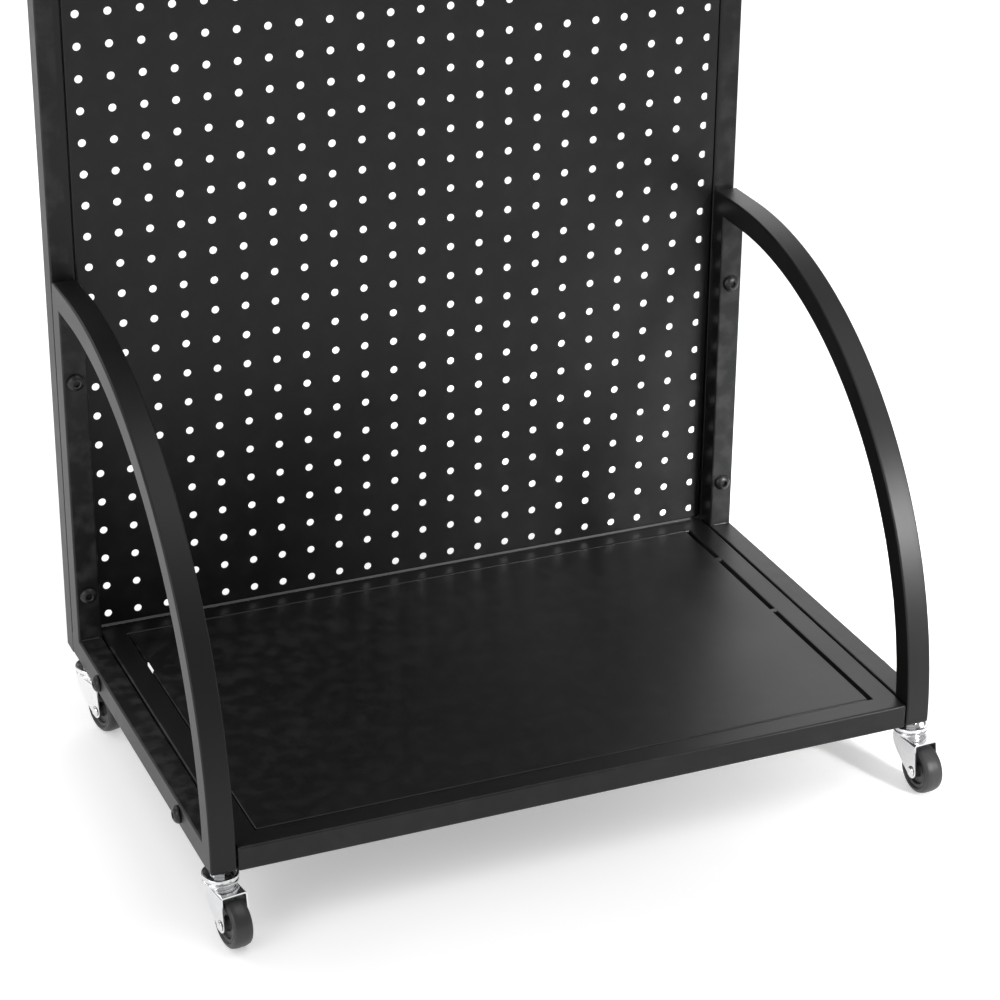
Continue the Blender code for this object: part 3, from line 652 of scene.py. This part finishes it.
def fold_edges(bm, us, vs, grids, bend, flange, place, steps=6):
    """The bends and flanges all round, outside and inside, out to the flanges' rims."""
    tight = bend - SHEET
    turns = [math.pi / 2 * k / steps for k in range(1, steps + 1)]
    profile = [(bend * math.sin(a), bend * (1 - math.cos(a))) for a in turns]
    profile += [(bend, flange), (tight, flange)]
    profile += [(tight * math.sin(a), bend - tight * math.cos(a)) for a in reversed(turns)]
    last_u, last_v = len(us) - 1, len(vs) - 1
    rim = [(last_u, j) for j in range(last_v)] + [(i, last_v) for i in range(last_u, 0, -1)]
    rim += [(0, j) for j in range(last_v, 0, -1)] + [(i, 0) for i in range(last_u)]
    spokes = []
    starts = {(last_u, 0): -90, (last_u, last_v): 0, (0, last_v): 90, (0, 0): 180}
    side_angle = 0.0
    for i, j in rim:
        if (i, j) in starts:
            angles = [starts[i, j] + 90 * k / steps for k in range(steps + 1)]
            side_angle = angles[-1]
        else:
            angles = [side_angle]
        for angle in angles:
            spokes.append((i, j, math.radians(angle)))
    lines = []
    for i, j, angle in spokes:
        du, dv = math.cos(angle), math.sin(angle)
        line = [bm.verts.new(place(us[i] + du * r, vs[j] + dv * r, d)) for r, d in profile]
        lines.append((grids[0][i][j], line, grids[1][i][j]))
    for here, after in zip(lines, lines[1:] + lines[:1]):
        strip_a = [here[0], *here[1], here[2]]
        strip_b = [after[0], *after[1], after[2]]
        for k in range(len(strip_a) - 1):
            face = [strip_a[k], strip_a[k + 1], strip_b[k + 1], strip_b[k]]
            bm.faces.new(list(dict.fromkeys(face)))


def lines_between(low, high, firsts, count, pitch):
    """Edges of the cells, halfway between holes, with the sheet's own edges outside."""
    inner = [firsts + pitch * (k + 0.5) for k in range(count - 1)]
    return [low, *inner, high]


def pegboard():
    low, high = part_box("pegboard_panel")
    base_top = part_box("side_bottom_rail_left")[1].z
    first_u = -PITCH * (HOLE_COLUMNS - 1) / 2
    first_v = base_top + FIRST_HOLE
    us = lines_between(low.x + PANEL_BEND, high.x - PANEL_BEND, first_u, HOLE_COLUMNS, PITCH)
    vs = lines_between(low.z + PANEL_BEND, high.z - PANEL_BEND, first_v, HOLE_ROWS, PITCH)
    bm = tray(
        us, vs, PANEL_BEND, high.y - low.y,
        lambda u, v, depth: Vector((u, low.y + depth, v)),
        lambda i, j: (first_u + PITCH * i, first_v + PITCH * j),
    )
    obj = mesh_object("pegboard_sheet", bm)
    finish_piece(obj, COAT, ("pegboard_panel",))


def shelf():
    """The shelf's sheet, with a relief in its left edge and welds across its right slot."""
    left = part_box("shelf_left_rail")[1].x + SLOT
    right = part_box("shelf_right_rail")[0].x - SLOT_RIGHT
    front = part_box("shelf_front_rail")[1].y + SLOT
    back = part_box("shelf_rear_rail")[0].y - SLOT
    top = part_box("shelf_front_rail")[1].z
    us = [left + SHELF_BEND, right - SHELF_BEND]
    vs = [front + SHELF_BEND, back - SHELF_BEND]
    bm = tray(us, vs, SHELF_BEND, SHELF_FLANGE, lambda u, v, depth: Vector((u, v, top - depth)))
    obj = mesh_object("shelf_tray", bm)
    combine(obj, relief(left, RELIEF_Y, top - SHELF_FLANGE - GAP, top + GAP))
    finish_piece(obj, COAT, ("shelf_sheet",))
    for place, y in (("middle", (front + back) / 2), ("rear", back - REAR_TAB)):
        shelf_tab(f"shelf_tab_{place}", right, y, top)


def shelf_tab(name, edge, y, top):
    """A tab of the sheet that reaches across the slot, ground flush with the rail."""
    length, depth = WELD_TAB
    low = (edge - SHELF_BEND, y - length / 2, top - depth)
    high = (edge + SLOT_RIGHT + TUBE_RADIUS / 2, y + length / 2, top)
    obj = mesh_object(name, bar(low, high, 0, GAP, GAP))
    finish_piece(obj, COAT, body="root", sharp=60.0)


def relief(x, y, low, high):
    """A round-ended slot standing upright, half in and half out of the sheet's edge."""
    length, depth = RELIEF
    bm = bmesh.new()
    turns = [math.pi * k / 8 for k in range(9)]
    points = [(depth * math.cos(a), length / 2 - depth + depth * math.sin(a)) for a in turns]
    points += [(-u, -v) for u, v in points]
    rings = [[bm.verts.new((x + u, y + v, z)) for u, v in points] for z in (low, high)]
    skin(bm, *rings)
    bm.faces.new(rings[0])
    bm.faces.new(rings[1][::-1])
    return bm


def weld(name, centre, length):
    """A short bead of weld across a tube, with ripples, coated with the rest."""
    stations = 28
    profile = [(0.0, -length / 2)]
    for step in range(1, stations):
        t = step / stations
        round_end = math.sqrt(max(0.0, 1 - abs(2 * t - 1) ** 6))
        ripple = 1 + 0.09 * math.sin(2 * math.pi * t * length / BEAD_RIPPLE)
        profile.append((BEAD_RADIUS * round_end * ripple, (t - 0.5) * length))
    profile.append((0.0, length / 2))
    obj = mesh_object(name, turned(profile, pointing(centre, (1, 0, 0)), 16))
    finish_piece(obj, COAT, body="root", sharp=60.0)


def corner_welds():
    """Beads in the inside corners of the side frames, where they aren't ground."""
    length = TUBE - 2 * TUBE_RADIUS
    for side, _ in SIDES:
        arch, upright, rail = node_boxes(
            f"side_arch_{side}", f"side_upright_{side}", f"side_bottom_rail_{side}"
        )
        x = (arch[0].x + arch[1].x) / 2
        for place, y, z in (
            ("upright_foot", upright[0].y, rail[1].z),
            ("arch_end", upright[0].y, arch[1].z - TUBE),
            ("arch_foot", rail[0].y - GAP, rail[1].z),
        ):
            weld(f"weld_{place}_{side}", (x, y, z), length)


# Caps and fasteners

def post_cap(side):
    """A domed cap with a ribbed plug that grips the inside of the post."""
    low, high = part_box(f"post_cap_{side}")
    post_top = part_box(f"back_post_{side}")[1].z
    flange = bar((low.x, low.y, post_top + GAP / 2), high, 2)
    top_edges = [e for e in flange.edges if all(v.co.z > high.z - GAP for v in e.verts)]
    bmesh.ops.bevel(
        flange, geom=top_edges, offset=CAP_EDGE, segments=4, profile=0.5, affect="EDGES"
    )
    obj = mesh_object(f"post_plug_{side}", flange)
    inset = WALL + 2 * GAP
    plug = bar(
        (low.x + inset, low.y + inset, low.z), (high.x - inset, high.y - inset, post_top + WALL),
        2, TUBE_RADIUS / 2,
    )
    combine(obj, plug, "UNION")
    grip = WALL + GAP
    for rib in range(3):
        z = low.z + 0.003 + CAP_RIB_PITCH * rib
        top = (high.x - grip, high.y - grip, z + CAP_RIB)
        combine(obj, bar((low.x + grip, low.y + grip, z), top, 2, 0.0006), "UNION")
    finish_piece(obj, CAP_PLASTIC, (f"post_cap_{side}",))


def thread(start, count, root, crest):
    """Profile points of a thread, root and crest by turns."""
    heights = [start + turn * THREAD_PITCH for turn in range(count)]
    return [point for z in heights for point in ((root, z), (crest, z + THREAD_PITCH / 2))]


def bolt(node, seat, direction):
    """A button-head socket bolt with its thread."""
    steps = 10
    dome = BOLT_HEAD_HEIGHT - BOLT_HEAD_EDGE
    profile = [(0.0, -BOLT_HEAD_HEIGHT), (0.0034, -BOLT_HEAD_HEIGHT)]
    for step in range(steps, -1, -1):
        angle = BOLT_DOME_ANGLE * step / steps
        profile.append((
            BOLT_HEAD_RADIUS * math.cos(angle),
            -BOLT_HEAD_EDGE - dome * math.sin(angle) / math.sin(BOLT_DOME_ANGLE),
        ))
    profile += [
        (BOLT_HEAD_RADIUS - 0.0002, 0.0), (BOLT_SHANK_RADIUS, 0.0), (BOLT_SHANK_RADIUS, BOLT_SHANK)
    ]
    count = int((BOLT_LENGTH - BOLT_SHANK - CLEAR) / THREAD_PITCH)
    profile += thread(BOLT_SHANK + 0.0005, count, 0.0034, 0.0040)
    profile += [(0.0032, BOLT_LENGTH - 0.0005), (0.0029, BOLT_LENGTH), (0.0, BOLT_LENGTH)]
    direction = Vector(direction)
    start = Vector(seat)
    obj = mesh_object(f"bolt_{node}", turned(profile, pointing(start, direction), 48))
    top = start - direction * (BOLT_HEAD_HEIGHT + GAP)
    corner = HEX_SOCKET / 2 / math.cos(math.pi / 6)
    combine(obj, rod(top, direction, HEX_DEPTH, corner, 6))
    mouth = turned(
        [(0.0, -0.0001), (0.0034, -0.0001), (0.0024, 0.0009), (0.0, 0.0009)],
        pointing(top, direction), 48,
    )
    combine(obj, mouth)
    finish_piece(obj, BOLT, (node,), sharp=30.0)


def bolts():
    for side, sign in SIDES:
        for level in ("lower", "upper"):
            node = f"upright_bolt_{side}_{level}"
            low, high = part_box(node)
            seat = ((low.x + high.x) / 2, low.y + BOLT_HEAD_HEIGHT, (low.z + high.z) / 2)
            bolt(node, seat, (0, 1, 0))
        for end in ("front", "rear"):
            node = f"shelf_bolt_{side}_{end}"
            low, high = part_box(node)
            x = low.x + BOLT_HEAD_HEIGHT if sign < 0 else high.x - BOLT_HEAD_HEIGHT
            bolt(node, (x, (low.y + high.y) / 2, (low.z + high.z) / 2), (-sign, 0, 0))


# Casters: heights are measured down from the underside of the tubes

def caster_places(name):
    """The caster's frame on the floor, the frame of its axle, and the tubes' underside."""
    foot = JOINTS[f"swivel_{name}"]["pos_m"]
    roll = JOINTS[f"roll_{name}"]
    angle = math.atan2(roll["axis"][1], roll["axis"][0])
    place = Matrix.Translation((foot[0], foot[1], 0)) @ Matrix.Rotation(angle, 4, "Z")
    axle = Matrix.Translation(roll["pos_m"]) @ Matrix.Rotation(angle, 4, "Z")
    axle = axle @ Matrix.Rotation(math.pi / 2, 4, "Y")
    return place, axle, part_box("side_bottom_rail_left")[0].z


def caster_mount(name, place, top):
    """Threaded stem, hexagon collar, dished upper race and riveted king pin."""
    low, high = (corner.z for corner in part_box(f"caster_stem_{name}"))
    profile = fillet([
        (0.0, low, 0), (0.0050, low, 0.0004), (0.0062, low + 0.0009, 0.0004),
        (0.0062, low + 0.0013, 0), (0.0045, low + 0.0013, 0), (0.0045, top - 0.0064, 0),
        (0.0132, top - 0.0064, 0.0004), (0.0141, top - 0.0055, 0.0005),
        (0.0141, top - 0.0028, 0.0007), (0.0122, top - 0.0028, 0.0005),
        (0.0108, top - 0.0042, 0.0006), (0.0046, top - 0.0042, 0), (0.0046, top - GAP, 0),
    ])
    profile += thread(top, int((high - top - 0.001) / THREAD_PITCH), 0.0041, 0.0048)
    profile += [(0.0040, high - 0.0004), (0.0036, high), (0.0, high)]
    obj = mesh_object(f"caster_mount_{name}", turned(profile, place))
    finish_piece(obj, ZINC, (f"caster_stem_{name}",), sharp=30.0)

    collar = bmesh.new()
    corner = COLLAR_FLAT / math.cos(math.pi / 6)
    bmesh.ops.create_cone(
        collar, cap_ends=True, segments=6, radius1=corner, radius2=corner, depth=COLLAR_HEIGHT,
        matrix=place @ Matrix.Translation((0, 0, top - GAP - COLLAR_HEIGHT / 2)),
    )
    obj = mesh_object(f"caster_collar_{name}", collar)
    combine(obj, turned(
        fillet([
            (0.0, top - 0.0043, 0), (0.0066, top - 0.0043, 0), (0.0075, top - 0.0036, 0),
            (0.0075, top - 0.0010, 0), (0.0066, top - 0.0001, 0), (0.0, top - 0.0001, 0),
        ]),
        place, 48,
    ), "INTERSECT")
    soften(obj, 0.00015)
    finish_piece(obj, ZINC, body="root", sharp=30.0)


def fork_side(top_z, axle_z, trail, steps=14):
    """Side view of a fork as (ahead, up) points, with a round end about the axle."""
    corner = Vector((-FORK_BACK, top_z - 0.0065))
    first, last = math.radians(215), math.radians(365)
    turns = [first + (last - first) * k / steps for k in range(steps + 1)]
    arc = [(trail + FORK_LOBE * math.cos(a), axle_z + FORK_LOBE * math.sin(a)) for a in turns]
    belly = Vector((-FORK_BACK + 0.001, axle_z + 0.0105))
    curve = []
    for k in range(1, steps):
        t = k / steps
        curve.append(tuple(
            corner * (1 - t) ** 2 + belly * 2 * t * (1 - t) + Vector(arc[0]) * t ** 2
        ))
    return [(-FORK_BACK, top_z), tuple(corner), *curve, *arc, (trail + FORK_NECK, top_z)]


def caster_fork(name, place, top):
    """A fork pressed from one sheet: two legs, a top plate, and the lower race on it."""
    plate = top - FORK_TOP
    roll = Vector(JOINTS[f"roll_{name}"]["pos_m"])
    trail = -(place.inverted() @ roll).y
    bm = bmesh.new()
    ring = [
        bm.verts.new((-FORK_WIDTH / 2, -ahead, up))
        for ahead, up in fork_side(plate, roll.z, trail)
    ]
    face = bm.faces.new(ring)
    moved = bmesh.ops.extrude_face_region(bm, geom=[face])["geom"]
    moved = [v for v in moved if isinstance(v, bmesh.types.BMVert)]
    bmesh.ops.translate(bm, verts=moved, vec=(FORK_WIDTH, 0, 0))
    shoulders = [
        e for e in bm.edges
        if all(v.co.z > plate - GAP for v in e.verts)
        and abs(e.verts[0].co.x - e.verts[1].co.x) < GAP
    ]
    bmesh.ops.bevel(
        bm, geom=shoulders, offset=FORK_SHOULDER, segments=6, profile=0.5, affect="EDGES"
    )
    bm.transform(place)
    obj = mesh_object(f"caster_yoke_{name}", bm)
    half = FORK_WIDTH / 2 - FORK_SHEET
    slot = bar((-half, -0.05, -0.02), (half, 0.05, plate - FORK_SHEET), 1, 0.0010)
    slot.transform(place)
    combine(obj, slot)
    under = place @ Vector((0, 0, plate - 2 * FORK_SHEET))
    combine(obj, rod(under, (0, 0, 1), 3 * FORK_SHEET, FORK_HOLE_RADIUS))
    soften(obj, 0.00025)
    finish_piece(obj, ZINC, (f"caster_fork_{name}",), sharp=30.0)
    race = fillet([
        (FORK_HOLE_RADIUS, plate, 0), (0.0126, plate, 0), (0.0126, plate + 0.0006, 0.0002),
        (0.0136, plate + 0.0012, 0.0005), (0.0136, plate + 0.0026, 0.0006),
        (0.0122, plate + 0.0035, 0.0006), (FORK_HOLE_RADIUS, plate + 0.0035, 0),
    ])
    obj = mesh_object(f"caster_race_{name}", turned(race, place, closed=True))
    finish_piece(obj, ZINC, body=f"fork_{name}", sharp=30.0)


def mirrored(half):
    """A whole profile from the half of it at z below 0."""
    return half + [(r, -z) for r, z in reversed(half)]


def caster_axle(name, axle):
    """A riveted axle with a domed head on each side."""
    inner = FORK_WIDTH / 2 + GAP
    outer = inner + AXLE_HEAD
    profile = mirrored(fillet([
        (0.0, -outer, 0), (0.0031, -outer, 0.0006), (0.0042, -inner - 0.0005, 0.0003),
        (0.0042, -inner, 0), (0.0025, -inner, 0),
    ]))
    obj = mesh_object(f"caster_pin_{name}", turned(profile, axle, 48))
    finish_piece(obj, ZINC, (f"caster_axle_{name}",), sharp=30.0)


def caster_wheel(name, axle):
    """A moulded wheel centre with a hub and a recessed web, in a rubber tyre."""
    core = mirrored(fillet([
        (0.0029, -0.0086, 0), (0.0050, -0.0086, 0.0004), (0.0056, -0.0060, 0.0004),
        (0.0062, -0.0046, 0.0005), (0.0108, -0.0046, 0.0006), (0.0116, -0.0066, 0.0004),
        (0.0130, -0.0066, 0),
    ]))
    obj = mesh_object(f"wheel_centre_{name}", turned(core, axle, 96, closed=True))
    finish_piece(obj, WHEEL_PLASTIC, (f"caster_wheel_{name}",), sharp=30.0)
    tyre = mirrored(fillet([
        (0.0131, -0.0064, 0), (0.0144, -0.0064, 0.0003), (0.0149, -0.0073, 0.0003),
        (0.0160, -0.0080, 0.0010), (0.0187, -0.0068, 0.0024), (0.0195, -0.0030, 0.0060),
        (0.0195, 0.0, 0),
    ]))
    tyre = tyre[:len(tyre) // 2 - 1] + tyre[len(tyre) // 2:]
    obj = mesh_object(f"wheel_tyre_{name}", turned(tyre, axle, 128, closed=True))
    finish_piece(obj, RUBBER, (f"caster_tyre_{name}",), sharp=30.0)


def casters():
    for name in CASTERS:
        place, axle, top = caster_places(name)
        caster_mount(name, place, top)
        caster_fork(name, place, top)
        caster_axle(name, axle)
        caster_wheel(name, axle)


def carried_over():
    """Better finishes for the CAD nodes that stay."""
    for node, obj in frame["nodes"].items():
        if node.startswith(("post_nut", "shelf_nut", "caster_nut")):
            obj.data.materials.clear()
            obj.data.materials.append(STEEL)


# Studio and camera

CAMERA_PLACE = (-0.8157, -1.9148, 1.2192)
CAMERA_TURN = (64.4536, -0.4339, -22.9346)  # degrees: tilt, roll and heading
CAMERA_LENS = 105.98

LIGHTS = (  # name, place, target, size, power, spread in degrees
    ("key", (-3.4, -1.4, 1.8), (0.0, 0.0, 0.5), 2.6, 56.0, 180.0),
    ("top", (1.2, -0.9, 3.6), (0.0, 0.0, 0.5), 2.6, 30.0, 180.0),
    ("rim", (-1.5, 2.1, 2.4), (-1.2, 1.7, 0.0), 2.4, 29.0, 180.0),
    ("back", (1.5, 2.2, 1.4), (0.3, -0.1, 0.1), 1.5, 13.5, 180.0),
    ("front", (1.0, -1.5, 0.95), (0.56, -0.17, 0.25), 0.5, 2.4, 22.0),
)


def studio():
    """A pale floor, a bright surround and soft light, strongest from the left."""
    bm = bmesh.new()
    bmesh.ops.create_grid(bm, x_segments=1, y_segments=1, size=30.0)
    floor = mesh_object("floor", bm)
    material = bpy.data.materials.new("pale_floor")
    material.use_nodes = True
    shader = material.node_tree.nodes["Principled BSDF"]
    shader.inputs["Base Color"].default_value = (0.84, 0.84, 0.84, 1.0)
    shader.inputs["Roughness"].default_value = 0.9
    shader.inputs["Emission Color"].default_value = (1.0, 1.0, 1.0, 1.0)
    shader.inputs["Emission Strength"].default_value = 0.38
    floor.data.materials.append(material)

    world = bpy.data.worlds.new("surround")
    bpy.context.scene.world = world
    world.use_nodes = True
    tree = world.node_tree
    background = tree.nodes["Background"]
    background.inputs["Color"].default_value = (1.0, 1.0, 1.0, 1.0)
    background.inputs["Strength"].default_value = 0.47

    for name, place, target, size, power, spread in LIGHTS:
        light = bpy.data.lights.new(name, "AREA")
        light.shape = "SQUARE"
        light.size = size
        light.energy = power
        light.spread = math.radians(spread)
        lamp = bpy.data.objects.new(name, light)
        bpy.context.scene.collection.objects.link(lamp)
        lamp.location = place
        aim = Vector(target) - Vector(place)
        lamp.rotation_euler = aim.to_track_quat("-Z", "Y").to_euler()
        lamp.visible_camera = False
    bpy.context.scene.view_settings.view_transform = "Standard"


def camera():
    data = bpy.data.cameras.new("camera")
    data.lens = CAMERA_LENS
    data.clip_end = 200.0
    obj = bpy.data.objects.new("camera", data)
    bpy.context.scene.collection.objects.link(obj)
    obj.location = CAMERA_PLACE
    obj.rotation_euler = [math.radians(angle) for angle in CAMERA_TURN]
    bpy.context.scene.camera = obj


camera()
studio()
back_frame()
side_frame("left")
side_frame("right")
shelf_frame()
pegboard()
shelf()
corner_welds()
post_cap("left")
post_cap("right")
bolts()
casters()
carried_over()
